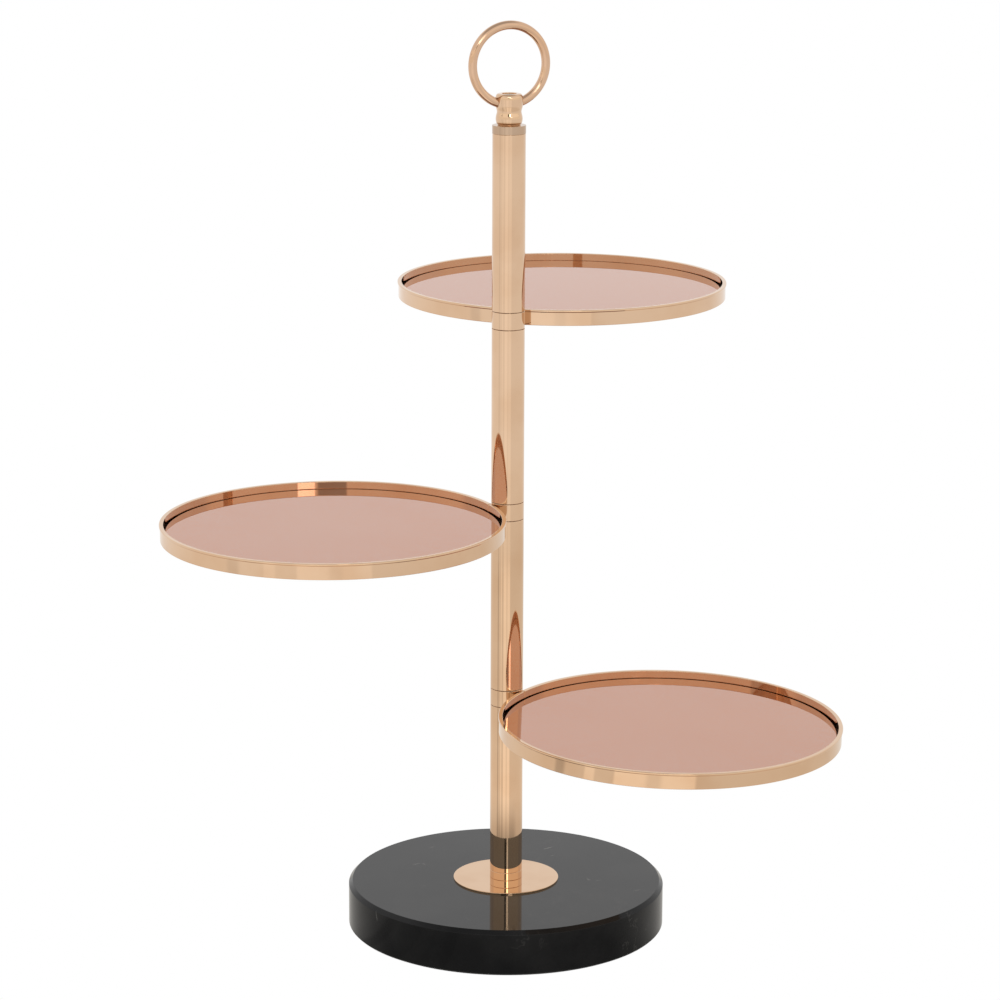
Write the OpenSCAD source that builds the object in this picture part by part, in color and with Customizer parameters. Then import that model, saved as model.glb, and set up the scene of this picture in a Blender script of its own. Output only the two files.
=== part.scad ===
// Three-tier swivelling cake stand. Millimetres, +Z up, origin on the table under the column.

/* [Base] */
// Diameter of the stone base
base_d = 189; // [150:1:240]
// Thickness of the stone base
base_h = 26.9; // [22:0.1:40]
// Size of the slanted edge round the top of the base
base_edge = 2.3; // [0.5:0.1:4]
// Thickness of the felt pad under the base
pad_h = 0.8; // [0.6:0.1:3]
// Diameter of the thin metal disc under the column
flange_d = 63; // [40:1:90]
// Thickness of that disc
flange_t = 1; // [0.8:0.1:3]
// Height of the short ring at the foot of the column
base_ring_h = 4.7; // [3:0.1:10]

/* [Column] */
// Outside diameter of the column tubes
tube_d = 19.3; // [17:0.1:26]
// Wall thickness of the column tubes
tube_wall = 1.5; // [1:0.1:2]
// Length of each of the four tubes
tube_len = 103.3; // [70:0.1:160]
// Height of each swivelling collar
collar_h = 9.9; // [9.5:0.1:14]
// Thickness of the slip washers above and below a collar
slip_t = 0.3; // [0.2:0.1:0.6]

/* [Trays] */
// Outside diameter of a tray, over its lip
tray_d = 200; // [150:1:240]
// Height of the tray rim
rim_h = 9.3; // [9:0.1:14]
// Thickness of the tray rim
rim_wall = 2; // [1.5:0.1:3]
// How far the glass lies below the top of the rim
glass_depth = 4.5; // [3:0.1:4.5]
// Gap all round between the glass and the rim
glass_gap = 1; // [0.5:0.1:3]
// Direction of the top tray, degrees from +X
top_turn = 72.8; // [-180:0.1:360]
// Direction of the middle tray, degrees from +X
middle_turn = 203.8; // [-180:0.1:360]
// Direction of the lower tray, degrees from +X
lower_turn = -30; // [-180:0.1:360]
// How far the top tray leans down from level, degrees
top_lean = 0; // [0:0.1:2]
// How far the middle tray leans down from level, degrees
middle_lean = 0.3; // [0:0.1:2]
// How far the lower tray leans down from level, degrees
lower_lean = 1.3; // [0:0.1:2]

/* [Handle] */
// Diameter of the ring handle, to the middle of its wire
ring_d = 45.4; // [36:0.1:60]
// Diameter of the ring's wire
ring_wire = 5.1; // [4:0.1:6]
// Turn of the ring about the column, degrees
ring_turn = 23; // [-90:1:90]
// Widest diameter of the knob that holds the ring
knob_d = 16; // [14.5:0.1:18]

/* [Hidden] */
$fn = 128;

rose_gold = "#e2ae8c";
steel = "silver";

// Through rod, nut and washers
rod_r = 4;
rod_hole_r = 4.2;
stone_hole_r = 5;
pocket_r = 16;
pocket_depth = 14;
washer_r = 12;
washer_t = 1.6;
lock_washer_r = 6.6;
lock_washer_t = 2;
nut_flats = 13;
nut_h = 6.5;
rod_below_nut = 1.6;
end_chamfer = 0.6;

// Column
tube_r = tube_d / 2;
tube_inner_r = tube_r - tube_wall;
edge_break = 0.2;
plug_h = 8;
bush_r = 6;
running_gap = 0.05;
stack_h = collar_h + 2 * slip_t;
slip_inner_r = bush_r + 0.1;
slip_outer_r = tube_r - 0.35;
base_top = pad_h + base_h;
flange_top = base_top + flange_t;
column_foot = flange_top + base_ring_h;
step_h = tube_len + stack_h;
cap_foot = column_foot + 4 * tube_len + 3 * stack_h;
cap_h = 4.8;
cap_r = tube_r + 0.15;

// Trays, measured from the underside of the rim
lip_r = tray_d / 2;
lip_h = 1.2;
lip_overhang = 0.5;
rim_r = lip_r - lip_overhang;
rim_inner_r = rim_r - rim_wall;
rim_drop = 0.6;
rim_to_tube = 0.25;
tray_offset = lip_r + tube_r + rim_to_tube;
glass_t = 3;
tape_t = 0.7;
pan_t = 0.8;
glass_top = rim_h - glass_depth;
glass_foot = glass_top - glass_t;
tape_foot = glass_foot - tape_t;
pan_foot = tape_foot - pan_t;
glass_r = rim_inner_r - glass_gap;
tape_r = rim_inner_r - 0.2;
braze_half_w = 2.5;
braze_reach = 3;

// Knob, measured from its foot on the cap ring
knob_foot = cap_foot + cap_h;
neck_r = 6.7;
neck_h = 0.9;
waist_r = 7.05;
lower_bead_r = 7.78;
lower_bead_round = 3;
lower_bead_z = 3.7;
upper_bead_r = knob_d / 2;
upper_bead_round = 5;
upper_bead_z = 12.7;
knob_h = 18.1;
knob_bore_h = 8.4;
ring_low_z = 11.8;
ring_play = 0.03;
ring_r = ring_d / 2;
wire_r = ring_wire / 2;
ring_z = knob_foot + ring_low_z + ring_r;
screw_hole_r = 4.2;
screw_r = 4.15;
screw_sunk = 0.7;
screw_foot = knob_foot + ring_low_z + wire_r + 0.05;
screw_top = knob_foot + knob_h - screw_sunk;
screw_pin_r = 1.2;
screw_pin_h = ring_r - wire_r - sqrt(pow(ring_r - wire_r, 2) - pow(screw_r, 2));
screw_socket_flats = 4;
screw_socket_depth = min(2, screw_top - screw_foot - screw_pin_h - 0.5);

function tube_foot(i) = column_foot + i * step_h;
function stack_foot(i) = tube_foot(i) + tube_len;
function collar_foot(i) = stack_foot(i) + slip_t;
function rim_foot(i) = collar_foot(i) + collar_h - rim_drop - rim_h;
function flats_to_r(flats) = flats / 2 / cos(30);

// Round bar or ring with broken edges, standing on z = 0
module turned_ring(outer_r, inner_r, h, edge) {
  rotate_extrude()
    polygon([
      [inner_r, 0],
      [outer_r - edge, 0],
      [outer_r, edge],
      [outer_r, h - edge],
      [outer_r - edge, h],
      [inner_r, h]
    ]);
}

// Column tube number i, counted from the foot
module column_tube(i) {
  translate([0, 0, tube_foot(i)])
    turned_ring(tube_r, tube_inner_r, tube_len, edge_break);
}

// The two bored plugs, flush in the ends of tube i
module end_plugs(i) {
  for (z = [tube_foot(i), tube_foot(i) + tube_len - plug_h])
    translate([0, 0, z])
      turned_ring(tube_inner_r, rod_hole_r, plug_h, edge_break);
}

// Spacer that carries the clamping load past collar i, so the collar stays free to turn
module swivel_bush(i) {
  translate([0, 0, stack_foot(i)])
    turned_ring(bush_r, rod_hole_r, stack_h, edge_break);
}

// Thin washers below and above collar i
module slip_washers(i) {
  for (z = [stack_foot(i), stack_foot(i) + stack_h - slip_t])
    translate([0, 0, z])
      difference() {
        cylinder(r = slip_outer_r, h = slip_t);
        translate([0, 0, -1])
          cylinder(r = slip_inner_r, h = slip_t + 2);
      }
}

// Moves a tray from its own centre to its place on collar i. It leans about the rim's near edge.
module at_tray(i, turn, lean) {
  rotate([0, 0, turn])
    translate([tray_offset - lip_r, 0, rim_foot(i) + rim_h])
      rotate([0, lean, 0])
        translate([lip_r, 0, -rim_h])
          children();
}

// The rim's full outer shape, used for the rim and to shape the brazed foot of the collar
module rim_outline_solid() {
  rotate_extrude()
    polygon([
      [0, 0],
      [rim_r - edge_break, 0],
      [rim_r, edge_break],
      [rim_r, rim_h - lip_h - 0.3],
      [lip_r, rim_h - lip_h + 0.2],
      [lip_r, rim_h - 0.4],
      [lip_r - 0.4, rim_h],
      [0, rim_h]
    ]);
}

module tray_rim(i, turn, lean) {
  at_tray(i, turn, lean)
    difference() {
      rim_outline_solid();
      translate([0, 0, -1])
        cylinder(r = rim_inner_r, h = rim_h + 2);
    }
}

// Sheet metal floor of the tray, let into the rim
module tray_pan(i, turn, lean) {
  at_tray(i, turn, lean)
    translate([0, 0, pan_foot])
      cylinder(r = rim_inner_r, h = pan_t);
}

// Black foam tape that bonds the glass to the floor
module mirror_tape(i, turn, lean) {
  at_tray(i, turn, lean)
    translate([0, 0, tape_foot])
      cylinder(r = tape_r, h = tape_t);
}

// Mirror glass disc with its edges broken
module mirror_glass(i, turn, lean) {
  at_tray(i, turn, lean)
    translate([0, 0, glass_foot])
      turned_ring(glass_r, 0, glass_t, 0.3);
}

// Collar i with the braze that joins it to the rim
module tray_collar(i, turn, lean) {
  difference() {
    union() {
      translate([0, 0, collar_foot(i)])
        turned_ring(tube_r, bush_r + running_gap, collar_h, edge_break);
      difference() {
        rotate([0, 0, turn])
          translate([tube_r - 1, -braze_half_w, collar_foot(i) + edge_break])
            cube([braze_reach, 2 * braze_half_w, collar_h - rim_drop - lip_h - edge_break]);
        at_tray(i, turn, lean)
          rim_outline_solid();
      }
    }
    translate([0, 0, collar_foot(i) - 1])
      cylinder(r = bush_r + running_gap, h = collar_h + 2);
  }
}

// Torus about the ring handle's own centre line
module ring_torus(r) {
  translate([0, 0, ring_z])
    rotate([90, 0, ring_turn])
      rotate_extrude()
        translate([ring_r, 0])
          circle(r = r);
}

// One rounded bead of the knob, widest at height z
module bead(widest_r, round_r, z) {
  translate([0, 0, z])
    rotate_extrude()
      intersection() {
        translate([widest_r - round_r, 0])
          circle(r = round_r);
        translate([0, -round_r])
          square([widest_r, 2 * round_r]);
      }
}

module base_pad() {
  color("dimgray")
    cylinder(r = base_d / 2 - 2.5, h = pad_h);
}

module marble_base() {
  color("#262626")
    translate([0, 0, pad_h])
      difference() {
        rotate_extrude()
          polygon([
            [0, 0],
            [base_d / 2 - 1, 0],
            [base_d / 2, 1],
            [base_d / 2, base_h - base_edge],
            [base_d / 2 - base_edge, base_h],
            [0, base_h]
          ]);
        translate([0, 0, -1])
          cylinder(r = pocket_r, h = pocket_depth + 1);
        cylinder(r = stone_hole_r, h = base_h + 1);
      }
}

washer_foot = pad_h + pocket_depth - washer_t;
lock_washer_foot = washer_foot - lock_washer_t;
nut_foot = lock_washer_foot - nut_h;

module base_washer() {
  color(steel)
    translate([0, 0, washer_foot])
      turned_ring(washer_r, rod_hole_r, washer_t, edge_break);
}

module base_lock_washer() {
  color("gray")
    translate([0, 0, lock_washer_foot])
      difference() {
        turned_ring(lock_washer_r, rod_hole_r, lock_washer_t, edge_break);
        rotate([0, 0, 40])
          translate([rod_hole_r - 1, -0.5, -1])
            cube([lock_washer_r, 1, lock_washer_t + 2]);
      }
}

module base_nut() {
  color(steel)
    translate([0, 0, nut_foot])
      difference() {
        cylinder(r = flats_to_r(nut_flats), h = nut_h, $fn = 6);
        translate([0, 0, -1])
          cylinder(r = rod_r, h = nut_h + 2);
      }
}

module tie_rod() {
  color(steel)
    translate([0, 0, nut_foot - rod_below_nut])
      turned_ring(rod_r, 0, knob_foot + knob_bore_h - 0.4 - nut_foot + rod_below_nut, end_chamfer);
}

module flange_plate() {
  color(rose_gold)
    translate([0, 0, base_top])
      difference() {
        rotate_extrude()
          polygon([
            [0, 0],
            [flange_d / 2, 0],
            [flange_d / 2, flange_t - 0.3],
            [flange_d / 2 - 0.3, flange_t],
            [0, flange_t]
          ]);
        translate([0, 0, -1])
          cylinder(r = rod_hole_r, h = flange_t + 2);
      }
}

module base_ring() {
  color(rose_gold)
    translate([0, 0, flange_top])
      turned_ring(tube_r, rod_hole_r, base_ring_h, edge_break);
}

module lower_tube() { color(rose_gold) column_tube(0); }
module second_tube() { color(rose_gold) column_tube(1); }
module third_tube() { color(rose_gold) column_tube(2); }
module top_tube() { color(rose_gold) column_tube(3); }

module lower_tube_plugs() { color(steel) end_plugs(0); }
module second_tube_plugs() { color(steel) end_plugs(1); }
module third_tube_plugs() { color(steel) end_plugs(2); }
module top_tube_plugs() { color(steel) end_plugs(3); }

module lower_swivel_bush() { color("gold") swivel_bush(0); }
module middle_swivel_bush() { color("gold") swivel_bush(1); }
module top_swivel_bush() { color("gold") swivel_bush(2); }

module lower_slip_washers() { color("dimgray") slip_washers(0); }
module middle_slip_washers() { color("dimgray") slip_washers(1); }
module top_slip_washers() { color("dimgray") slip_washers(2); }

module lower_collar() { color("#d89a74") tray_collar(0, lower_turn, lower_lean); }
module middle_collar() { color("#d89a74") tray_collar(1, middle_turn, middle_lean); }
module top_collar() { color("#d89a74") tray_collar(2, top_turn, top_lean); }

module lower_tray_rim() { color(rose_gold) tray_rim(0, lower_turn, lower_lean); }
module middle_tray_rim() { color(rose_gold) tray_rim(1, middle_turn, middle_lean); }
module top_tray_rim() { color(rose_gold) tray_rim(2, top_turn, top_lean); }

module lower_tray_pan() { color("#c0967c") tray_pan(0, lower_turn, lower_lean); }
module middle_tray_pan() { color("#c0967c") tray_pan(1, middle_turn, middle_lean); }
module top_tray_pan() { color("#c0967c") tray_pan(2, top_turn, top_lean); }

module lower_mirror_tape() { color("black") mirror_tape(0, lower_turn, lower_lean); }
module middle_mirror_tape() { color("black") mirror_tape(1, middle_turn, middle_lean); }
module top_mirror_tape() { color("black") mirror_tape(2, top_turn, top_lean); }

module lower_mirror_glass() { color("#cda493") mirror_glass(0, lower_turn, lower_lean); }
module middle_mirror_glass() { color("#cda493") mirror_glass(1, middle_turn, middle_lean); }
module top_mirror_glass() { color("#cda493") mirror_glass(2, top_turn, top_lean); }

module top_cap_ring() {
  color("#c99f86")
    translate([0, 0, cap_foot])
      turned_ring(cap_r, rod_hole_r, cap_h, edge_break);
}

module finial_knob() {
  color(rose_gold)
    difference() {
      translate([0, 0, knob_foot])
        difference() {
          union() {
            cylinder(r = neck_r, h = lower_bead_z);
            translate([0, 0, neck_h])
              cylinder(r = waist_r, h = upper_bead_z - neck_h);
            bead(lower_bead_r, lower_bead_round, lower_bead_z);
            bead(upper_bead_r, upper_bead_round, upper_bead_z);
            rotate_extrude()
              polygon([
                [0, upper_bead_z],
                [upper_bead_r, upper_bead_z],
                [upper_bead_r - 0.1, knob_h - 2.6],
                [upper_bead_r - 0.4, knob_h - 1],
                [upper_bead_r - 1.2, knob_h],
                [0, knob_h]
              ]);
          }
          translate([0, 0, -1])
            cylinder(r = rod_r, h = knob_bore_h + 1);
          translate([0, 0, ring_low_z])
            cylinder(r = screw_hole_r, h = knob_h);
        }
      ring_torus(wire_r + ring_play);
    }
}

// Its short pin bears on the wire, and its body stays clear of the wire's curve
module ring_grub_screw() {
  color("#333333")
    translate([0, 0, screw_foot])
      difference() {
        union() {
          translate([0, 0, screw_pin_h])
            turned_ring(screw_r, 0, screw_top - screw_foot - screw_pin_h, edge_break);
          cylinder(r = screw_pin_r, h = screw_pin_h + 0.1);
        }
        translate([0, 0, screw_top - screw_foot - screw_socket_depth])
          cylinder(r = flats_to_r(screw_socket_flats), h = screw_socket_depth + 1, $fn = 6);
      }
}

module ring_handle() {
  color(rose_gold)
    ring_torus(wire_r);
}

base_pad();
marble_base();
base_washer();
base_lock_washer();
base_nut();
tie_rod();
flange_plate();
base_ring();
lower_tube();
second_tube();
third_tube();
top_tube();
lower_tube_plugs();
second_tube_plugs();
third_tube_plugs();
top_tube_plugs();
lower_swivel_bush();
middle_swivel_bush();
top_swivel_bush();
lower_slip_washers();
middle_slip_washers();
top_slip_washers();
lower_collar();
middle_collar();
top_collar();
lower_tray_rim();
middle_tray_rim();
top_tray_rim();
lower_tray_pan();
middle_tray_pan();
top_tray_pan();
lower_mirror_tape();
middle_mirror_tape();
top_mirror_tape();
lower_mirror_glass();
middle_mirror_glass();
top_mirror_glass();
top_cap_ring();
finial_knob();
ring_grub_screw();
ring_handle();
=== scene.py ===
"""Visual model of a three-tier swivelling cake stand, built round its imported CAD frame."""
import math

import bpy
import numpy as np
from mathutils import Matrix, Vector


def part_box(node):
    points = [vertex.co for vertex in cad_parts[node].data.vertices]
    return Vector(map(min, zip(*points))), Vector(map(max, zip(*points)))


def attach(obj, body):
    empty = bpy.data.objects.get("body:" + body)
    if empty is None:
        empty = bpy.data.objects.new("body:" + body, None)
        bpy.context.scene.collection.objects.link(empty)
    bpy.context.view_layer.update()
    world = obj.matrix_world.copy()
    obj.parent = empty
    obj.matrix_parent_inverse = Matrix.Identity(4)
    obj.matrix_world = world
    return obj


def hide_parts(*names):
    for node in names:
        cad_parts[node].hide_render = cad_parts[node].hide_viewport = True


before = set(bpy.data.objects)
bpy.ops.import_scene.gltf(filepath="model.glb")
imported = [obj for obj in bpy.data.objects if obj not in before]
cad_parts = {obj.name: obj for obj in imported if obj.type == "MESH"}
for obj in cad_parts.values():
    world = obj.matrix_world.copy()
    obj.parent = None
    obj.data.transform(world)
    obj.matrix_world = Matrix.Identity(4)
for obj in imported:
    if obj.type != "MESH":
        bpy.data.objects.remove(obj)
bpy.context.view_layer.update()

MM = 0.001
TAU = 2 * math.pi
TRAYS = ("lower", "middle", "top")
TUBES = ("lower", "second", "third", "top")

# Camera: distance in front of the column, height over the table, and its turn
CAMERA_DISTANCE = 2.106
CAMERA_HEIGHT = 0.7671
CAMERA_PITCH = math.radians(13.5)
CAMERA_YAW = math.radians(-0.12)
CAMERA_ROLL = math.radians(0.22)
CAMERA_LENS = 132.64
CAMERA_SENSOR = 36
CAMERA_FAR = 100

# Column and knob, as built in the CAD
TUBE_R = 9.65 * MM
TUBE_INNER_R = 8.15 * MM
ROD_HOLE_R = 4.2 * MM
COLLAR_BORE_R = 6.05 * MM
CAP_R = 9.8 * MM
EDGE = 0.2 * MM

# Trays
LIP_R = 100 * MM
RIM_R = 99.5 * MM
RIM_INNER_R = 97.5 * MM
GLASS_R = 96.5 * MM
TAPE_R = 97.3 * MM
LIP_H = 1.2 * MM
PAN_R = RIM_INNER_R - 0.02 * MM
PAN_FLAT_R = 84 * MM
PAN_STEP_R = 86 * MM
PAN_RISE = 0.25 * MM

# Base
BASE_R = 94.5 * MM
BASE_EDGE = 2.3 * MM
BASE_FOOT_EDGE = 1 * MM
PAD_R = 92 * MM
FLANGE_R = 31.5 * MM
POCKET_R = 16 * MM
POCKET_H = 14 * MM
STONE_HOLE_R = 5 * MM

# Ring handle and the screw that clamps it
RING_R = 22.7 * MM
WIRE_R = 2.55 * MM
RING_TURN = math.radians(23)
CHANNEL_PLAY = 0.12 * MM
SCREW_R = 4.15 * MM
PIN_R = 1.2 * MM
SOCKET_DEPTH = 2 * MM
SOCKET_HALF = 2 * MM

# Joint of each rim's band: share of its thickness lost there, half its width, and reach of the finer points
JOINT_DEPTH = 0.35
JOINT_HALF = 0.36 * MM
JOINT_REACH = 1.1 * MM

# Braze beside each collar (half its width at the ends and in the middle) and the slip washers
BRAZE_HALF = 3.4 * MM
BRAZE_WAIST = 2.3 * MM
BRAZE_SINK = 0.05 * MM
SLIP_R = TUBE_R - 0.35 * MM
SLIP_BORE_R = 6.1 * MM
SLIP_H = 0.3 * MM

# Studio: half the floor's side, the heights of its two sheets, and the plain wall's radius, foot and top
FLOOR_HALF = 30
WHITE_FLOOR_Z = -0.0006
LIT_FLOOR_Z = -0.0003
WALL_R, WALL_LOW, WALL_HIGH = 28, -0.1, 20


# ---------------------------------------------------------------- surfaces

def rounded(outline, steps=6):
    """Profile with its corners rounded.

    outline is a list of (r, z, corner radius). Each corner of radius c becomes an arc of that radius, tangent
    to both sides, with one more point a little before and after it, so that the flats next to it stay flat
    when shaded smooth.
    """
    points = []
    count = len(outline)
    for i, (r, z, corner) in enumerate(outline):
        here = np.array([r, z])
        if corner == 0:
            points.append(here)
            continue
        before = np.array(outline[i - 1][:2]) - here
        after = np.array(outline[(i + 1) % count][:2]) - here
        room_in, room_out = np.linalg.norm(before), np.linalg.norm(after)
        before, after = before / room_in, after / room_out
        half = math.acos(np.clip(before @ after, -1, 1)) / 2
        reach = min(corner / math.tan(half), 0.45 * room_in, 0.45 * room_out)
        corner = reach * math.tan(half)
        middle = before + after
        centre = here + middle / np.linalg.norm(middle) * corner / math.sin(half)
        first, last = here + before * reach - centre, here + after * reach - centre
        turn = math.atan2(first[0] * last[1] - first[1] * last[0], first @ last)
        support = min(0.25 * reach, 0.05 * MM)
        points.append(centre + first + before * support)
        for t in np.linspace(0, turn, steps + 1):
            points.append(centre + first * math.cos(t) + np.array([-first[1], first[0]]) * math.sin(t))
        points.append(centre + last + after * support)
    return np.array(points)


def make_mesh(name, vertices, faces):
    """A mesh object from whole arrays: vertices (n, 3) and faces as rows of corner numbers."""
    mesh = bpy.data.meshes.new(name)
    mesh.from_pydata(vertices.tolist(), [], faces)
    mesh.validate()
    mesh.shade_smooth()
    piece = bpy.data.objects.new(name, mesh)
    bpy.context.scene.collection.objects.link(piece)
    return piece


def grid_faces(rows, columns, wrap_rows):
    """Quads of a rows x columns grid, closed along its columns, and along its rows too if wrap_rows."""
    i = np.arange(rows if wrap_rows else rows - 1)[:, None]
    j = np.arange(columns)[None, :]
    below, above = i * columns, (i + 1) % rows * columns
    ahead = (j + 1) % columns
    return np.stack([below + j, below + ahead, above + ahead, above + j], -1).reshape(-1, 4)


def swept(name, points, wrap_rows, poles=None):
    """A surface through a grid of points (rows, columns, 3), closed round its columns.

    wrap_rows joins the last row to the first. poles, if given, are the two end points that close the first
    and the last row with triangles.
    """
    rows, columns = points.shape[:2]
    vertices = points.reshape(-1, 3)
    faces = grid_faces(rows, columns, wrap_rows).tolist()
    if poles is not None:
        vertices = np.concatenate([vertices, np.array(poles)])
        first, last = rows * columns, rows * columns + 1
        j = np.arange(columns)
        ahead = (j + 1) % columns
        top = (rows - 1) * columns
        faces += np.stack([ahead, j, np.full(columns, first)], -1).tolist()
        faces += np.stack([top + j, top + ahead, np.full(columns, last)], -1).tolist()
    return make_mesh(name, vertices, faces)


def turned(name, outline, segments=128, place=None, angles=None, squeeze=None):
    """A turned piece: the profile (r, z) carried round the z axis, so a point is (r cos a, r sin a, z).

    The profile runs counter-clockwise with r to the right, so faces point outwards. Where it starts and ends
    on the axis it is closed with poles, or else it is a closed loop. squeeze(a) shrinks the profile about its
    middle at angle a. place, a 4 x 4 matrix, puts the piece where it belongs.
    """
    profile = np.asarray(outline, float)
    solid = profile[0, 0] < 1e-9 and profile[-1, 0] < 1e-9
    poles = None
    if solid:
        poles = [[0, 0, profile[0, 1]], [0, 0, profile[-1, 1]]]
        profile = profile[1:-1]
    if angles is None:
        angles = np.arange(segments) * TAU / segments
    middle = (profile.min(0) + profile.max(0)) / 2
    shrink = np.ones(len(angles)) if squeeze is None else squeeze(angles)
    rz = middle + (profile - middle)[:, None, :] * shrink[None, :, None]
    points = np.stack([rz[..., 0] * np.cos(angles), rz[..., 0] * np.sin(angles), rz[..., 1]], -1)
    piece = swept(name, points, not solid, poles)
    if place is not None:
        piece.data.transform(place_matrix(place))
    return piece


def place_matrix(array):
    """The same matrix, from an array to Blender's own kind."""
    return Matrix(array.tolist())


def bushing(name, outer, inner, low, high, edge=EDGE, segments=128):
    """A plain turned ring between two radii and two heights, its four edges rounded."""
    outline = [(inner, low, edge), (outer, low, edge), (outer, high, edge), (inner, high, edge)]
    return turned(name, rounded(outline, 4), segments)


def disc(name, radius, low, high, edge, place, segments=256):
    """A solid turned disc with rounded edges, in the place given."""
    outline = rounded([(0, low, 0), (radius, low, edge), (radius, high, edge), (0, high, 0)], 5)
    return turned(name, outline, segments, place)


def heights(node):
    """Lowest and highest z of a CAD node."""
    low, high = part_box(node)
    return low.z, high.z


# ---------------------------------------------------------------- materials

class Wire:
    """One value in a material's node tree. Arithmetic on it adds Math nodes."""

    def __init__(self, finish, socket):
        self.finish = finish
        self.socket = socket

    def math(self, operation, *values):
        """A Math node of the operation named, fed with this value first."""
        return self.finish.count(operation, self, *values)

    def __add__(self, other):
        return self.math("ADD", other)

    __radd__ = __add__

    def __mul__(self, other):
        return self.math("MULTIPLY", other)

    __rmul__ = __mul__

    def __sub__(self, other):
        return self.math("SUBTRACT", other)

    def __rsub__(self, other):
        return self.finish.count("SUBTRACT", other, self)

    def clamp(self, low=0, high=1):
        return self.math("MAXIMUM", low).math("MINIMUM", high)

    def ramp(self, low, high):
        """0 below low, 1 above high, smooth between."""
        settings = {"interpolation_type": "SMOOTHSTEP", "clamp": True}
        return self.finish.wire(self.finish.add("ShaderNodeMapRange", settings,
                                                {"Value": self, "From Min": low, "From Max": high}))


class Finish:
    """A node tree being written, of a material or of the world."""

    def __init__(self, tree):
        self.tree = tree

    def add(self, kind, settings=None, values=None):
        """Adds a node: its settings, then a value or a link for each socket named or counted in values."""
        node = self.tree.nodes.new(kind)
        for key, value in (settings or {}).items():
            setattr(node, key, value)
        for key, value in values.items() if isinstance(values, dict) else enumerate(values or []):
            self.fill(node.inputs[key], value)
        return node

    def fill(self, socket, value):
        """Links a wire or another node's socket to socket, or sets its value; None leaves it as it is."""
        if isinstance(value, Wire):
            self.tree.links.new(value.socket, socket)
        elif isinstance(value, bpy.types.NodeSocket):
            self.tree.links.new(value, socket)
        elif value is not None:
            socket.default_value = value

    def wire(self, node, output=0):
        """One output of a node, as a wire to reckon with."""
        return Wire(self, node.outputs[output])

    def count(self, operation, *values):
        """A Math node fed with values in their order."""
        return self.wire(self.add("ShaderNodeMath", {"operation": operation}, values))

    def place(self, centre=(0, 0, 0), scale=(1, 1, 1), turn=(0, 0, 0)):
        """Object coordinates, centred, turned and scaled."""
        coordinates = self.add("ShaderNodeTexCoord").outputs["Object"]
        shift = self.add("ShaderNodeMapping", {"vector_type": "TEXTURE"},
                         {"Vector": coordinates, "Location": centre, "Rotation": turn})
        return self.add("ShaderNodeMapping", {}, {"Vector": shift.outputs[0], "Scale": scale}).outputs[0]

    def noise(self, vector, scale, detail=2.0, rough=0.5):
        """Noise between 0 and 1, with scale cells to the metre."""
        node = self.add("ShaderNodeTexNoise", {}, {"Vector": vector, "Scale": scale, "Detail": detail,
                                                   "Roughness": rough})
        return self.wire(node, "Fac")

    def mix(self, factor, first, second):
        """Colour between first and second."""
        first, second = ((*c, 1) if isinstance(c, tuple) else c for c in (first, second))
        node = self.add("ShaderNodeMix", {"data_type": "RGBA"}, {0: factor, 6: first, 7: second})
        return node.outputs[2]

    def bump(self, height, strength, distance, normal=None):
        """Normal tilted by the slope of height, distance metres deep, over another normal if given."""
        node = self.add("ShaderNodeBump", {}, {"Strength": strength, "Distance": distance, "Height": height,
                                               "Normal": normal})
        return node.outputs[0]


def material(name):
    """A new material: its tree writer and its shader, ready for values."""
    made = bpy.data.materials.new(name)
    made.use_nodes = True
    made.node_tree.nodes.clear()
    finish = Finish(made.node_tree)
    shader = finish.add("ShaderNodeBsdfPrincipled")
    finish.add("ShaderNodeOutputMaterial", {}, {"Surface": shader.outputs[0]})
    return made, finish, shader


def feed(finish, shader, **values):
    """Sets or links the shader's sockets by name, with _ for a space."""
    for key, value in values.items():
        finish.fill(shader.inputs[key.replace("_", " ")], value)


def rose_gold(name, warm=(0.705, 0.488, 0.325), centre=(0, 0, 0), lines=(1, 1, 1), wave=0.00001,
              line_scale=260):
    """Mirror-polished rose-gold plate: slow waves of the metal, fine polishing lines and faint smudges."""
    made, finish, shader = material(name)
    own = finish.place(centre)
    along = finish.place(centre, lines)
    cloud = finish.noise(own, 38, 3)
    smudge = finish.noise(own, 150, 4, 0.65)
    polish = finish.noise(along, line_scale, 2, 0.6)
    deeper = tuple(c * k for c, k in zip(warm, (0.94, 0.90, 0.86)))
    colour = finish.mix(cloud.ramp(0.35, 0.75), warm, deeper)
    rough = 0.028 + 0.035 * smudge.ramp(0.5, 0.8) + 0.02 * polish.ramp(0.5, 0.75)
    slow = finish.bump(finish.noise(own, 22, 1), 1.0, wave)
    fine = finish.bump(polish, 0.35, 0.0000012, slow)
    feed(finish, shader, Base_Color=colour, Metallic=1.0, Roughness=rough, Normal=fine)
    return made


def tinted_mirror(name, centre):
    """Rose-tinted mirror glass: a coloured mirror under a clear front, with a little dust and a few wipes."""
    made, finish, shader = material(name)
    own = finish.place(centre)
    wipe = finish.noise(finish.place(centre, (1, 0.25, 1), (0, 0, 0.6)), 30, 3)
    dust = finish.noise(own, 900, 2)
    cloud = finish.noise(own, 9, 2)
    colour = finish.mix(cloud.ramp(0.3, 0.7), (0.59, 0.365, 0.282), (0.577, 0.353, 0.271))
    rough = 0.036 + 0.004 * wipe.ramp(0.5, 0.7) + 0.012 * dust.ramp(0.66, 0.76)
    feed(finish, shader, Base_Color=colour, Metallic=1.0, Roughness=rough,
         Specular_Tint=(0.66, 0.35, 0.23, 1), Coat_Weight=1.0, Coat_Roughness=0.01)
    return made


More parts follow.
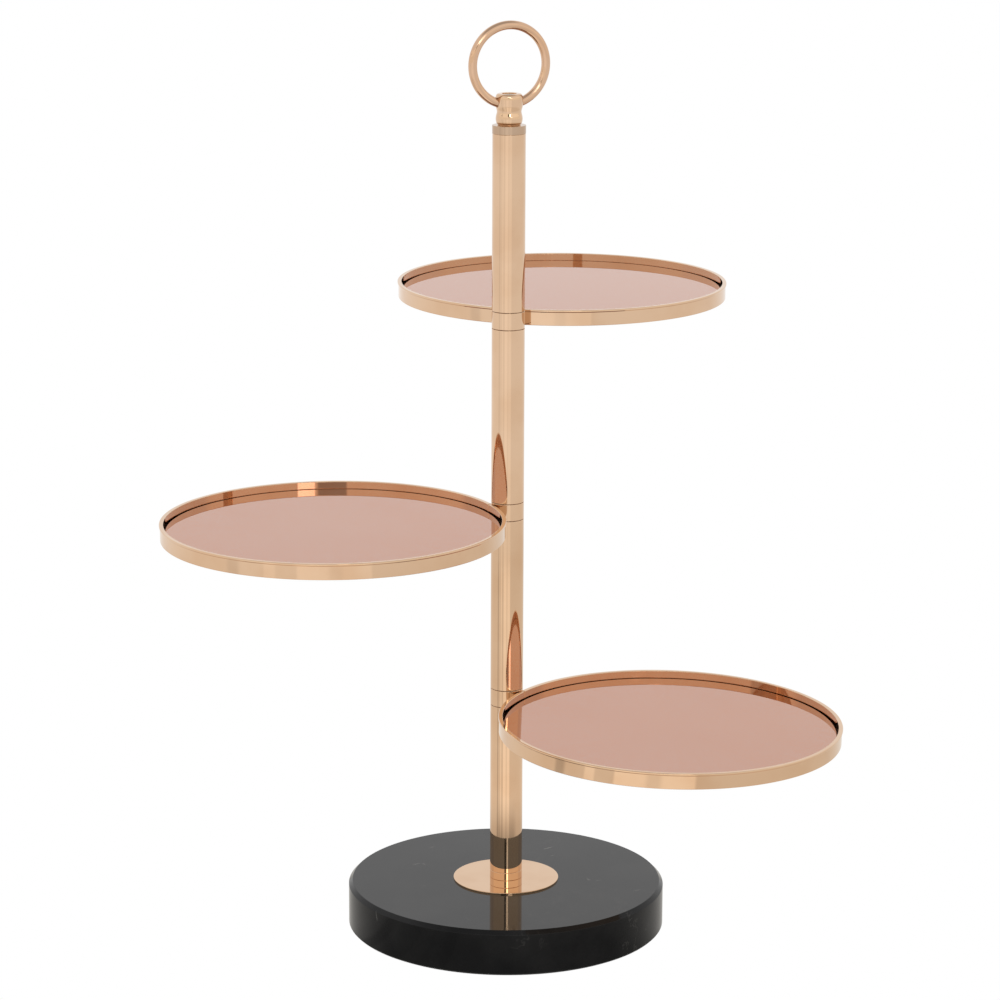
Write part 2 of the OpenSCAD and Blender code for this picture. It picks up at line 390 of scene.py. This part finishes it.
def black_marble(name, centre):
    """Polished black stone: nearly black ground with dim clouds, short pale dashes and a few thin veins."""
    made, finish, shader = material(name)
    own = finish.place(centre)
    cloud = finish.noise(own, 26, 5, 0.6)
    base = finish.mix(cloud.ramp(0.35, 0.75), (0.006, 0.0061, 0.0067), (0.0138, 0.0138, 0.0143))
    marks = None
    dashes = ((0.5, 260, 0.13, 0.0), (-0.9, 300, 0.12, 0.73), (2.1, 220, 0.11, 0.31))
    for turn, scale, stretch, shift in dashes:
        moved = (centre[0] + shift, centre[1], centre[2])
        vector = finish.place(moved, (1, stretch, stretch), (0.5, 0.3, turn))
        dash = finish.noise(vector, scale, 1).ramp(0.725, 0.765)
        marks = dash if marks is None else marks.math("MAXIMUM", dash)
    speck = finish.noise(own, 60, 2).ramp(0.52, 0.62)
    vein_line = finish.noise(finish.place(centre, (1, 1, 1), (0.3, 0.5, 0.8)), 11, 6, 0.62)
    thin = 1 - (vein_line - 0.5).math("ABSOLUTE").ramp(0.0, 0.006)
    vein = thin * finish.noise(own, 17, 1).ramp(0.55, 0.66)
    pale = (marks * speck * 0.5 + vein * 0.10).clamp()
    colour = finish.mix(pale, base, (0.20, 0.195, 0.19))
    rough = 0.05 + 0.06 * finish.noise(own, 70, 4).ramp(0.45, 0.75) + 0.1 * pale
    feed(finish, shader, Base_Color=colour, Roughness=rough, IOR=1.25)
    return made


def felt(name):
    """Dark pressed felt, with matted fibres."""
    made, finish, shader = material(name)
    fibre = finish.noise(finish.place((0, 0, 0), (1, 1, 3)), 1400, 4, 0.7)
    cloud = finish.noise(finish.place(), 60, 3)
    colour = finish.mix(fibre, (0.018, 0.018, 0.02), (0.06, 0.06, 0.065))
    feed(finish, shader, Base_Color=finish.mix(cloud, colour, (0.03, 0.03, 0.034)), Roughness=0.95,
         Normal=finish.bump(fibre, 0.8, 0.0002))
    return made


def foam_tape(name):
    """Matt foam tape, black with a warm tinge."""
    made, finish, shader = material(name)
    cell = finish.noise(finish.place(), 2500, 2)
    feed(finish, shader, Base_Color=finish.mix(cell, (0.030, 0.016, 0.011), (0.060, 0.034, 0.024)),
         Roughness=0.85, Normal=finish.bump(cell, 0.4, 0.00005))
    return made


def plain_steel(name, colour=(0.55, 0.55, 0.57), rough=0.32, lines=(1, 1, 30)):
    """Bright steel with turning lines and a little staining."""
    made, finish, shader = material(name)
    line = finish.noise(finish.place((0, 0, 0), lines), 400, 2)
    stain = finish.noise(finish.place(), 90, 4)
    shade = finish.mix(stain.ramp(0.4, 0.7), colour, tuple(c * 0.72 for c in colour))
    feed(finish, shader, Base_Color=shade, Metallic=1.0, Roughness=rough + 0.15 * line.ramp(0.3, 0.7),
         Normal=finish.bump(line, 0.5, 0.00001))
    return made


def nylon(name):
    """Dark matt nylon."""
    made, finish, shader = material(name)
    grain = finish.noise(finish.place(), 700, 2)
    colour = finish.mix(grain, (0.16, 0.10, 0.065), (0.26, 0.165, 0.11))
    feed(finish, shader, Base_Color=colour, Roughness=0.55, Normal=finish.bump(grain, 0.2, 0.00002))
    return made


def dress(piece, body, slot, finish, *nodes):
    """Gives a piece its material and its body, and hides the CAD nodes that it stands for. The slot is not
    used.
    """
    piece.data.materials.clear()
    piece.data.materials.append(finish)
    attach(piece, body)
    if nodes:
        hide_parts(*nodes)
    return piece


# ---------------------------------------------------------------- base

column_metal = rose_gold("rose_gold_column", lines=(1, 1, 0.02))
ring_metal = rose_gold("rose_gold_rings", lines=(1, 1, 30), line_scale=120)
# The cap ring's rose gold is a darker copy of the same plate: painted shade.
shaded_cap_metal = rose_gold("rose_gold_cap_painted_shade", warm=(0.52, 0.37, 0.258), lines=(1, 1, 30), line_scale=120)
# The flange's rose gold is a slightly darker, warmer copy of the same plate: painted shade.
shaded_flange_metal = rose_gold("rose_gold_flange_painted_shade", warm=(0.69, 0.466, 0.298), lines=(1, 1, 1), wave=0.000004)

pad_low, pad_high = heights("base_pad")
stone_low, stone_high = heights("marble_base")
flange_low, flange_high = heights("flange_plate")
ring_low, ring_high = heights("base_ring")

pad_outline = [
    (0, pad_low, 0),
    (PAD_R, pad_low, 0.3 * MM),
    (PAD_R, pad_high, 0.3 * MM),
    (0, pad_high, 0),
]
pad = turned("felt_pad", rounded(pad_outline, 4), 192)
dress(pad, "stand", "felt", felt("pressed_felt"), "base_pad")

stone_outline = [
    (POCKET_R, stone_low, 0.3 * MM),
    (BASE_R - BASE_FOOT_EDGE, stone_low, 0.35 * MM),
    (BASE_R, stone_low + BASE_FOOT_EDGE, 0.35 * MM),
    (BASE_R, stone_high - BASE_EDGE, 0.3 * MM),
    (BASE_R - BASE_EDGE, stone_high, 0.25 * MM),
    (STONE_HOLE_R, stone_high, 0.3 * MM),
    (STONE_HOLE_R, stone_low + POCKET_H, 0.3 * MM),
    (POCKET_R, stone_low + POCKET_H, 0.3 * MM),
]
stone = turned("marble_disc", rounded(stone_outline, 5), 256)
dress(stone, "stand", "black_marble", black_marble("polished_black_marble", (0, 0, stone_low)), "marble_base")

flange_outline = [
    (ROD_HOLE_R, flange_low, 0.1 * MM),
    (FLANGE_R, flange_low, 0.1 * MM),
    (FLANGE_R, flange_high, 0.25 * MM),
    (ROD_HOLE_R, flange_high, 0.1 * MM),
]
flange = turned("flange_disc", rounded(flange_outline, 5), 192)
dress(flange, "stand", "rose_gold", shaded_flange_metal, "flange_plate")
foot_ring = bushing("foot_ring", TUBE_R, ROD_HOLE_R, ring_low, ring_high)
dress(foot_ring, "stand", "rose_gold", ring_metal, "base_ring")

# ---------------------------------------------------------------- column

for tube_name in TUBES:
    low, high = heights(f"{tube_name}_tube")
    tube = bushing(f"{tube_name}_column_tube", TUBE_R, TUBE_INNER_R, low, high)
    dress(tube, "stand", "rose_gold", column_metal, f"{tube_name}_tube")

cap_low, cap_high = heights("top_cap_ring")
cap_ring = bushing("cap_ring", CAP_R, ROD_HOLE_R, cap_low, cap_high)
dress(cap_ring, "stand", "rose_gold", shaded_cap_metal, "top_cap_ring")

# ---------------------------------------------------------------- knob, screw and ring

knob_low, _ = heights("finial_knob")
ring_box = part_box("ring_handle")
ring_middle = (ring_box[0].z + ring_box[1].z) / 2
screw_low, screw_high = heights("ring_grub_screw")


def smooth_curve(points, per_span):
    """Catmull-Rom curve through points, with per_span steps to each span."""
    p = np.asarray(points, float)
    p = np.concatenate([[2 * p[0] - p[1]], p, [2 * p[-1] - p[-2]]])
    t = np.linspace(0, 1, per_span, endpoint=False)[:, None]
    spans = [0.5 * (2 * b + (c - a) * t + (2 * a - 5 * b + 4 * c - d) * t**2 + (3 * b - a - 3 * c + d) * t**3)
             for a, b, c, d in zip(p[:-3], p[1:-2], p[2:-1], p[3:])]
    return np.concatenate([*spans, p[-2:-1]])


def knob_profile():
    """Bore for the rod, foot, then neck, two beads and waist as one smooth line, then the screw's sunk hole.

    Each point is (radius, height over the knob's foot), in millimetres.
    """
    body = smooth_curve(np.array([
        (6.7, 0.6), (6.85, 0.85), (7.25, 1.1), (7.58, 1.9), (7.76, 3.0), (7.78, 4.0),
        (7.6, 5.3), (7.28, 6.6), (7.1, 7.6), (7.25, 8.7), (7.62, 10.0), (7.9, 11.4),
        (8.0, 12.9), (7.98, 14.6), (7.88, 15.9), (7.62, 16.9), (7.2, 17.6), (6.7, 17.95)]), 6)
    foot = [(0, 8.4), (4, 8.4), (4, 0.15), (4.15, 0), (6.5, 0), (6.65, 0.15)]
    top = [(6.3, 18.07), (5.9, 18.1), (5.2, 18.1), (4.7, 18.1), (4.45, 18.08),
           (4.25, 17.95), (4.2, 17.7), (4.2, 14.42), (0, 14.42)]
    return np.concatenate([foot, body, top]) * MM + [0, knob_low]


def torus(name, ring_r, wire_r, around, section):
    """Wire ring standing on its edge.

    A point lies ring_r + wire_r cos t along the ring's own radius at angle s, and wire_r sin t across its
    plane. The ring is then turned about the column and lifted to its middle height.
    """
    s = (np.arange(around) * TAU / around)[None, :]
    t = (np.arange(section) * TAU / section)[:, None]
    reach = ring_r + wire_r * np.cos(t)
    side, height, across = reach * np.cos(s), reach * np.sin(s), wire_r * np.sin(t) + 0 * s
    cos_turn, sin_turn = math.cos(RING_TURN), math.sin(RING_TURN)
    x = side * cos_turn + across * sin_turn
    y = side * sin_turn - across * cos_turn
    return swept(name, np.stack([x, y, height + ring_middle], -1), True)


knob = turned("two_bead_knob", knob_profile(), 160)
cutter = torus("ring_channel", RING_R, WIRE_R + CHANNEL_PLAY, 192, 40)
cut = knob.modifiers.new("channel", "BOOLEAN")
cut.operation, cut.object, cut.solver = "DIFFERENCE", cutter, "EXACT"
shaped = bpy.data.meshes.new_from_object(knob.evaluated_get(bpy.context.evaluated_depsgraph_get()))
knob.modifiers.clear()
knob.data = shaped
knob.data.shade_smooth()
knob.data.set_sharp_from_angle(angle=math.radians(38))
bpy.data.objects.remove(cutter)
knob_metal = rose_gold("rose_gold_knob", lines=(1, 1, 30), line_scale=120)
dress(knob, "stand", "rose_gold", knob_metal, "finial_knob")

ring = torus("ring_wire", RING_R, WIRE_R, 256, 48)
# The ring's rose gold is a darker, deeper copy of the same plate: painted shade.
shaded_wire_metal = rose_gold("rose_gold_wire_painted_shade", warm=(0.66, 0.436, 0.292), lines=(1, 1, 1), wave=0.000006)
dress(ring, "stand", "rose_gold", shaded_wire_metal, "ring_handle")


def grub_screw(name):
    """Round screw with a pin tip and a six-sided socket.

    Each row is a circle at height z, or a hexagon whose radius at angle a is its flat distance / cos(a's
    distance from the middle of its side). The pin is as long as the wire's inside curve climbs across the
    screw's width, which is r - sqrt(r^2 - w^2).
    """
    angles = np.arange(96) * TAU / 96
    side = (angles + TAU / 12) % (TAU / 6) - TAU / 12
    hexagon = SOCKET_HALF / np.cos(side)
    circle = np.ones_like(angles)
    inside = RING_R - WIRE_R
    pin = screw_low + inside - math.sqrt(inside**2 - SCREW_R**2)
    rows = [
        (circle * (PIN_R - 0.2 * MM), screw_low),
        (circle * PIN_R, screw_low + 0.1 * MM),
        (circle * PIN_R, pin),
        (circle * (SCREW_R - 0.25 * MM), pin),
        (circle * SCREW_R, pin + 0.25 * MM),
        (circle * SCREW_R, screw_high - 0.4 * MM),
        (circle * (SCREW_R - 0.25 * MM), screw_high - 0.05 * MM),
        (circle * (SCREW_R - 0.45 * MM), screw_high),
        (circle * (SOCKET_HALF + 0.75 * MM), screw_high),
        (hexagon + 0.12 * MM, screw_high - 0.02 * MM),
        (hexagon, screw_high - 0.15 * MM),
        (hexagon, screw_high - SOCKET_DEPTH + 0.1 * MM),
        (hexagon * 0.9, screw_high - SOCKET_DEPTH),
    ]
    points = np.stack([np.stack([r * np.cos(angles), r * np.sin(angles), 0 * angles + z], -1)
                       for r, z in rows])
    piece = swept(name, points, False, [[0, 0, screw_low], [0, 0, screw_high - SOCKET_DEPTH]])
    piece.data.set_sharp_from_angle(angle=math.radians(30))
    return piece


dark_steel = plain_steel("blackened_steel", (0.035, 0.03, 0.028), 0.4)
dress(grub_screw("socket_screw"), "stand", "dark_steel", dark_steel, "ring_grub_screw")

# ---------------------------------------------------------------- trays


def corners(node):
    """All corner points of a CAD node's mesh, as one array."""
    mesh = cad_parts[node].data
    flat = np.zeros(len(mesh.vertices) * 3)
    mesh.vertices.foreach_get("co", flat)
    return flat.reshape(-1, 3)


def tray_place(name):
    """Place matrix of a tray: its centre at the rim's foot, x away from the column, z square to its floor."""
    points = corners(f"{name}_mirror_glass")
    middle = (points.min(0) + points.max(0)) / 2
    up = np.linalg.svd(points - points.mean(0), full_matrices=False)[2][2]
    up *= np.sign(up[2])
    out = np.array([middle[0], middle[1], 0])
    out -= up * (out @ up)
    out /= np.linalg.norm(out)
    side = np.cross(up, out)
    foot = ((corners(f"{name}_tray_rim") - middle) @ up).min()
    place = np.eye(4)
    place[:3, 0], place[:3, 1], place[:3, 2] = out, side, up
    place[:3, 3] = middle + up * foot
    return place


def level(node, place):
    """Lowest and highest of a node's points, measured along a tray's own z axis."""
    z = (corners(node) - place[:3, 3]) @ place[:3, 2]
    return z.min(), z.max()


def rim_angles(count, near, near_count, reach):
    """Angles round a rim: even ones, with near_count closer ones within reach of the band's joint."""
    even = np.arange(count) * TAU / count
    even = even[np.abs((even - near + math.pi) % TAU - math.pi) > reach * 1.2]
    close = near + np.linspace(-reach, reach, near_count)
    return np.sort(np.concatenate([even, close]) % TAU)


def band_joint(angles):
    """The band's two ends meet on the column's side, with their edges slightly rounded over."""
    away = np.abs((angles - math.pi + math.pi) % TAU - math.pi) * RIM_R
    return 1 - JOINT_DEPTH * np.exp(-(away / JOINT_HALF) ** 2)


def braze(name, collar_low, top, place, turn):
    """Hollow-sided fillet of braze between collar and rim.

    Its cross-section runs along the collar's circle, along a hollow curve to the rim's circle, back along the
    rim and home. It is carried straight up from the foot to the top.
    """
    tray_centre = place[:2, 3]
    gap = np.hypot(*tray_centre)

    def collar_point(y):
        return np.stack([np.sqrt((TUBE_R - BRAZE_SINK) ** 2 - y**2), y], -1)

    def rim_point(y):
        return np.stack([gap - np.sqrt((RIM_R - BRAZE_SINK) ** 2 - y**2), y], -1)

    y = np.linspace(-BRAZE_HALF, BRAZE_HALF, 17)
    t = np.linspace(0, 1, 9)[1:-1, None]
    a, b = collar_point(y[-1:])[0], rim_point(y[-1:])[0]
    control = np.array([(a[0] + b[0]) / 2, BRAZE_WAIST * 0.8])
    hollow = (1 - t) ** 2 * a + 2 * t * (1 - t) * control + t**2 * b
    loop = np.concatenate([collar_point(y), hollow, rim_point(y[::-1]), (hollow * [1, -1])[::-1]])
    out, across = loop[:, 0], loop[:, 1]
    cos_turn, sin_turn = math.cos(turn), math.sin(turn)
    flat = np.stack([out * cos_turn - across * sin_turn, out * sin_turn + across * cos_turn], -1)
    levels = np.linspace(collar_low + 0.15 * MM, top, 5)
    points = np.stack([np.concatenate([flat, np.full((len(flat), 1), z)], -1) for z in levels])
    middle = flat.mean(0)
    poles = [[*middle, levels[0]], [*middle, levels[-1]]]
    piece = swept(name, points, False, poles)
    piece.data.flip_normals()
    piece.data.set_sharp_from_angle(angle=math.radians(40))
    return piece


for tray_name in TRAYS:
    body = f"{tray_name}_tray"
    place = tray_place(tray_name)
    centre = tuple(place[:3, 3])
    turn = math.atan2(place[1, 3], place[0, 3])
    tray_metal = rose_gold(f"rose_gold_{tray_name}_rim", centre=centre, lines=(1, 1, 25), line_scale=90,
                           wave=0.000012)

    rim_low, rim_top = level(f"{tray_name}_tray_rim", place)
    rim_outline = [
        (RIM_INNER_R, rim_low, 0.3 * MM),
        (RIM_R, rim_low, 0.3 * MM),
        (RIM_R, rim_top - LIP_H - 0.3 * MM, 0.15 * MM),
        (LIP_R, rim_top - LIP_H + 0.2 * MM, 0.25 * MM),
        (LIP_R, rim_top, 0.5 * MM),
        (RIM_INNER_R, rim_top, 0.3 * MM),
    ]
    rim = turned(f"{tray_name}_rim_band", rounded(rim_outline, 5), place=place,
                 angles=rim_angles(360, math.pi, 17, JOINT_REACH / RIM_R), squeeze=band_joint)
    dress(rim, body, "rose_gold", tray_metal, f"{tray_name}_tray_rim")

    low, high = level(f"{tray_name}_tray_pan", place)
    floor_outline = [
        (0, low, 0),
        (PAN_FLAT_R, low, 1 * MM),
        (PAN_STEP_R, low + PAN_RISE, 1 * MM),
        (PAN_R, low + PAN_RISE, 0.05 * MM),
        (PAN_R, high, 0.05 * MM),
        (0, high, 0),
    ]
    tray_floor = turned(f"{tray_name}_tray_floor", rounded(floor_outline, 5), 256, place)
    dress(tray_floor, body, "rose_gold", tray_metal, f"{tray_name}_tray_pan")

    low, high = level(f"{tray_name}_mirror_tape", place)
    tape = disc(f"{tray_name}_foam_tape", TAPE_R, low, high, 0.1 * MM, place)
    dress(tape, body, "black_tape", foam_tape(f"black_foam_{tray_name}"), f"{tray_name}_mirror_tape")

    low, high = level(f"{tray_name}_mirror_glass", place)
    glass = disc(f"{tray_name}_mirror_disc", GLASS_R, low, high, 0.35 * MM, place)
    dress(glass, body, "tinted_mirror", tinted_mirror(f"rose_mirror_{tray_name}", centre),
          f"{tray_name}_mirror_glass")

    low, high = heights(f"{tray_name}_collar")
    collar = bushing(f"{tray_name}_swivel_collar", TUBE_R, COLLAR_BORE_R, low, high)
    dress(collar, body, "rose_gold", ring_metal, f"{tray_name}_collar")
    bead = braze(f"{tray_name}_braze", low, low + rim_top - LIP_H - 0.5 * MM, place, turn)
    dress(bead, body, "rose_gold", ring_metal)

    low, high = heights(f"{tray_name}_slip_washers")
    for part, z, stood_for in (("under", low, []), ("over", high - SLIP_H, [f"{tray_name}_slip_washers"])):
        washer = bushing(f"{tray_name}_slip_washer_{part}", SLIP_R, SLIP_BORE_R, z, z + SLIP_H, 0.06 * MM)
        dress(washer, "stand", "dark_nylon", nylon(f"nylon_{tray_name}_{part}"), *stood_for)

# ---------------------------------------------------------------- pieces kept from the CAD

steel = plain_steel("zinc_plated_steel")
brass = plain_steel("turned_brass", (0.72, 0.52, 0.22), 0.25)
plugs = [f"{t}_tube_plugs" for t in TUBES]
kept = {steel: ["base_washer", "base_lock_washer", "base_nut", "tie_rod", *plugs],
        brass: [f"{t}_swivel_bush" for t in TRAYS]}
for finish, names in kept.items():
    for node_name in names:
        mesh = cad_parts[node_name].data
        mesh.materials.clear()
        mesh.materials.append(finish)

# ---------------------------------------------------------------- studio


def azimuth_and_height(finish, point):
    """Azimuth in degrees, 0 towards the camera and rising to the right, and height, of a point."""
    parts = finish.add("ShaderNodeSeparateXYZ", {}, [point])
    side, away, height = (finish.wire(parts, i) for i in range(3))
    return side.math("ARCTAN2", 0 - away) * (180 / math.pi), height


def between(value, low, high, soft):
    """1 between low and high, fading to 0 over soft on either side."""
    return value.ramp(low - soft / 2, low + soft / 2) * (1 - value.ramp(high - soft / 2, high + soft / 2))


def floor_sheet(name, height):
    """A square sheet: its corners are FLOOR_HALF from the column's axis along x and y."""
    square = np.array([(-1, -1), (1, -1), (1, 1), (-1, 1)]) * FLOOR_HALF
    return make_mesh(name, np.column_stack([square, np.full(4, height)]), [[0, 1, 2, 3]])


def shining(sheet, seen_by_camera):
    """Makes a sheet of the studio glow, its colour and strength left to be wired."""
    made = bpy.data.materials.new(sheet.name)
    made.use_nodes = True
    made.node_tree.nodes.clear()
    sheet.data.materials.clear()
    sheet.data.materials.append(made)
    sheet.visible_camera = seen_by_camera
    sheet.visible_glossy = sheet.visible_diffuse = not seen_by_camera
    sheet.visible_shadow = False
    return Finish(made.node_tree)


def glow(finish, colour, strength):
    """Ends a sheet's tree with the light it gives off."""
    emission = finish.add("ShaderNodeEmission", {}, {"Color": colour, "Strength": strength})
    finish.add("ShaderNodeOutputMaterial", {}, {"Surface": emission.outputs[0]})


# What the camera sees behind the stand: a white floor and a white wall round it, which reflect nothing
wall_outline = [(WALL_R, WALL_LOW), (WALL_R + 0.1, WALL_LOW), (WALL_R + 0.1, WALL_HIGH), (WALL_R, WALL_HIGH)]
studio_wall = turned("studio_wall", wall_outline, 96)
for sheet in (floor_sheet("studio_floor", WHITE_FLOOR_Z), studio_wall):
    glow(shining(sheet, True), (1, 1, 1, 1), 1.0)

# What the stand reflects from below: the table, dim under the stand, with brighter and darker panels round it
lit = shining(floor_sheet("studio_floor_light", LIT_FLOOR_Z), False)
spot = lit.add("ShaderNodeTexCoord").outputs["Object"]
azimuth, _ = azimuth_and_height(lit, spot)
reach = lit.wire(lit.add("ShaderNodeVectorMath", {"operation": "LENGTH"}, [spot]), "Value")
side = lit.wire(lit.add("ShaderNodeSeparateXYZ", {}, [spot]), 0)
beside = azimuth.math("ABSOLUTE").ramp(45, 85)
under_stand = (0.30 + 0.34 * beside) + (0.70 - 0.34 * beside) * reach.ramp(0.13, 0.27)
mid_floor = 1.0 - 0.11 * between(reach, 0.35, 1.05, 0.4)
front_panel = between(azimuth, -24, 21, 2) * (0.33 - 0.20 * between(azimuth, -5, 3, 4))
side_panel = 0.24 * between(azimuth, -44, -37, 2) - 0.30 * between(azimuth, -68, -60, 4)
front_light = 1.0 + (front_panel + side_panel) * (1.0 - 0.6 * reach.ramp(0.8, 0.95))
floor_glow = under_stand * mid_floor * front_light * (1.02 - 0.06 * side.ramp(-0.6, 0.6))
glow(lit, lit.mix(reach.ramp(0.7, 1.4), (1, 0.965, 0.905), (1, 1, 1)), floor_glow)

# What the stand reflects from the sides and above: a white room with dark and bright panels at set heights
world = bpy.data.worlds.new("studio")
bpy.context.scene.world = world
world.use_nodes = True
world.node_tree.nodes.clear()
sky = Finish(world.node_tree)
azimuth, height = azimuth_and_height(sky, sky.add("ShaderNodeTexCoord").outputs["Generated"])
climb = height.math("ARCSINE") * (180 / math.pi)
near = 1 - azimuth.math("ABSOLUTE").ramp(95, 105)
overhead = climb.ramp(48, 62)
dark_stand = between(azimuth, -7, 13, 2) * between(climb, 11.6, 15.2, 0.8)
side_lamp = between(azimuth, 15, 27, 1) * between(climb, 11.6, 15.2, 0.8)
dark_corner = between(azimuth, -84, -60, 3) * between(climb, 14.4, 18.0, 0.8)
dark_stripe = between(azimuth, -11, 1, 2) * between(climb, 18, 22, 0.6)
front_box = between(azimuth, -14, 14, 3) * between(climb, 24, 33, 1.5)
lamp = between(azimuth, 5, 14, 2) * between(climb, 18, 22, 0.6)
low_wall = near * (1 - climb.ramp(20, 26))
near_glow = (1.0 - 0.54 * dark_stand + 1.5 * side_lamp - 0.30 * dark_corner - 0.85 * dark_stripe
             + 2.0 * front_box + 3.6 * lamp)
lift = 1 + low_wall * (0.04 + 0.14 * climb.ramp(11, 13))
sky_glow = (near * near_glow + (1 - near)) * lift * (1 - 0.45 * overhead)
sky_colour = sky.mix(low_wall * (1 - dark_stand) * (1 - side_lamp), (1, 1, 1), (1, 0.985, 0.92))
backdrop = sky.add("ShaderNodeBackground", {}, {"Color": sky_colour, "Strength": sky_glow})
sky.add("ShaderNodeOutputWorld", {}, {"Surface": backdrop.outputs[0]})

# A soft light from straight above, for what is not mirror-bright
lamp_data = bpy.data.lights.new("top_softbox", "AREA")
lamp_data.shape, lamp_data.size, lamp_data.energy = "SQUARE", 3, 20
top_softbox = bpy.data.objects.new("top_softbox", lamp_data)
bpy.context.scene.collection.objects.link(top_softbox)
top_softbox.location = (0, 0, 3)
top_softbox.visible_glossy = False
top_softbox.visible_camera = False

# ---------------------------------------------------------------- camera

camera = bpy.data.objects.new("camera", bpy.data.cameras.new("camera"))
bpy.context.scene.collection.objects.link(camera)
camera.data.lens = CAMERA_LENS
camera.data.sensor_width = CAMERA_SENSOR
camera.data.clip_end = CAMERA_FAR
level_part = math.cos(CAMERA_PITCH)
forward = np.array([math.sin(CAMERA_YAW) * level_part, math.cos(CAMERA_YAW) * level_part,
                    -math.sin(CAMERA_PITCH)])
right = np.array([math.cos(CAMERA_YAW), -math.sin(CAMERA_YAW), 0])
up = np.cross(right, forward)
right, up = (right * math.cos(CAMERA_ROLL) + up * math.sin(CAMERA_ROLL),
             up * math.cos(CAMERA_ROLL) - right * math.sin(CAMERA_ROLL))
stand_point = np.eye(4)
stand_point[:3, 0], stand_point[:3, 1], stand_point[:3, 2] = right, up, -forward
stand_point[:3, 3] = (0, -CAMERA_DISTANCE, CAMERA_HEIGHT)
camera.matrix_world = place_matrix(stand_point)
bpy.context.scene.camera = camera
bpy.context.scene.view_settings.view_transform = "Standard"
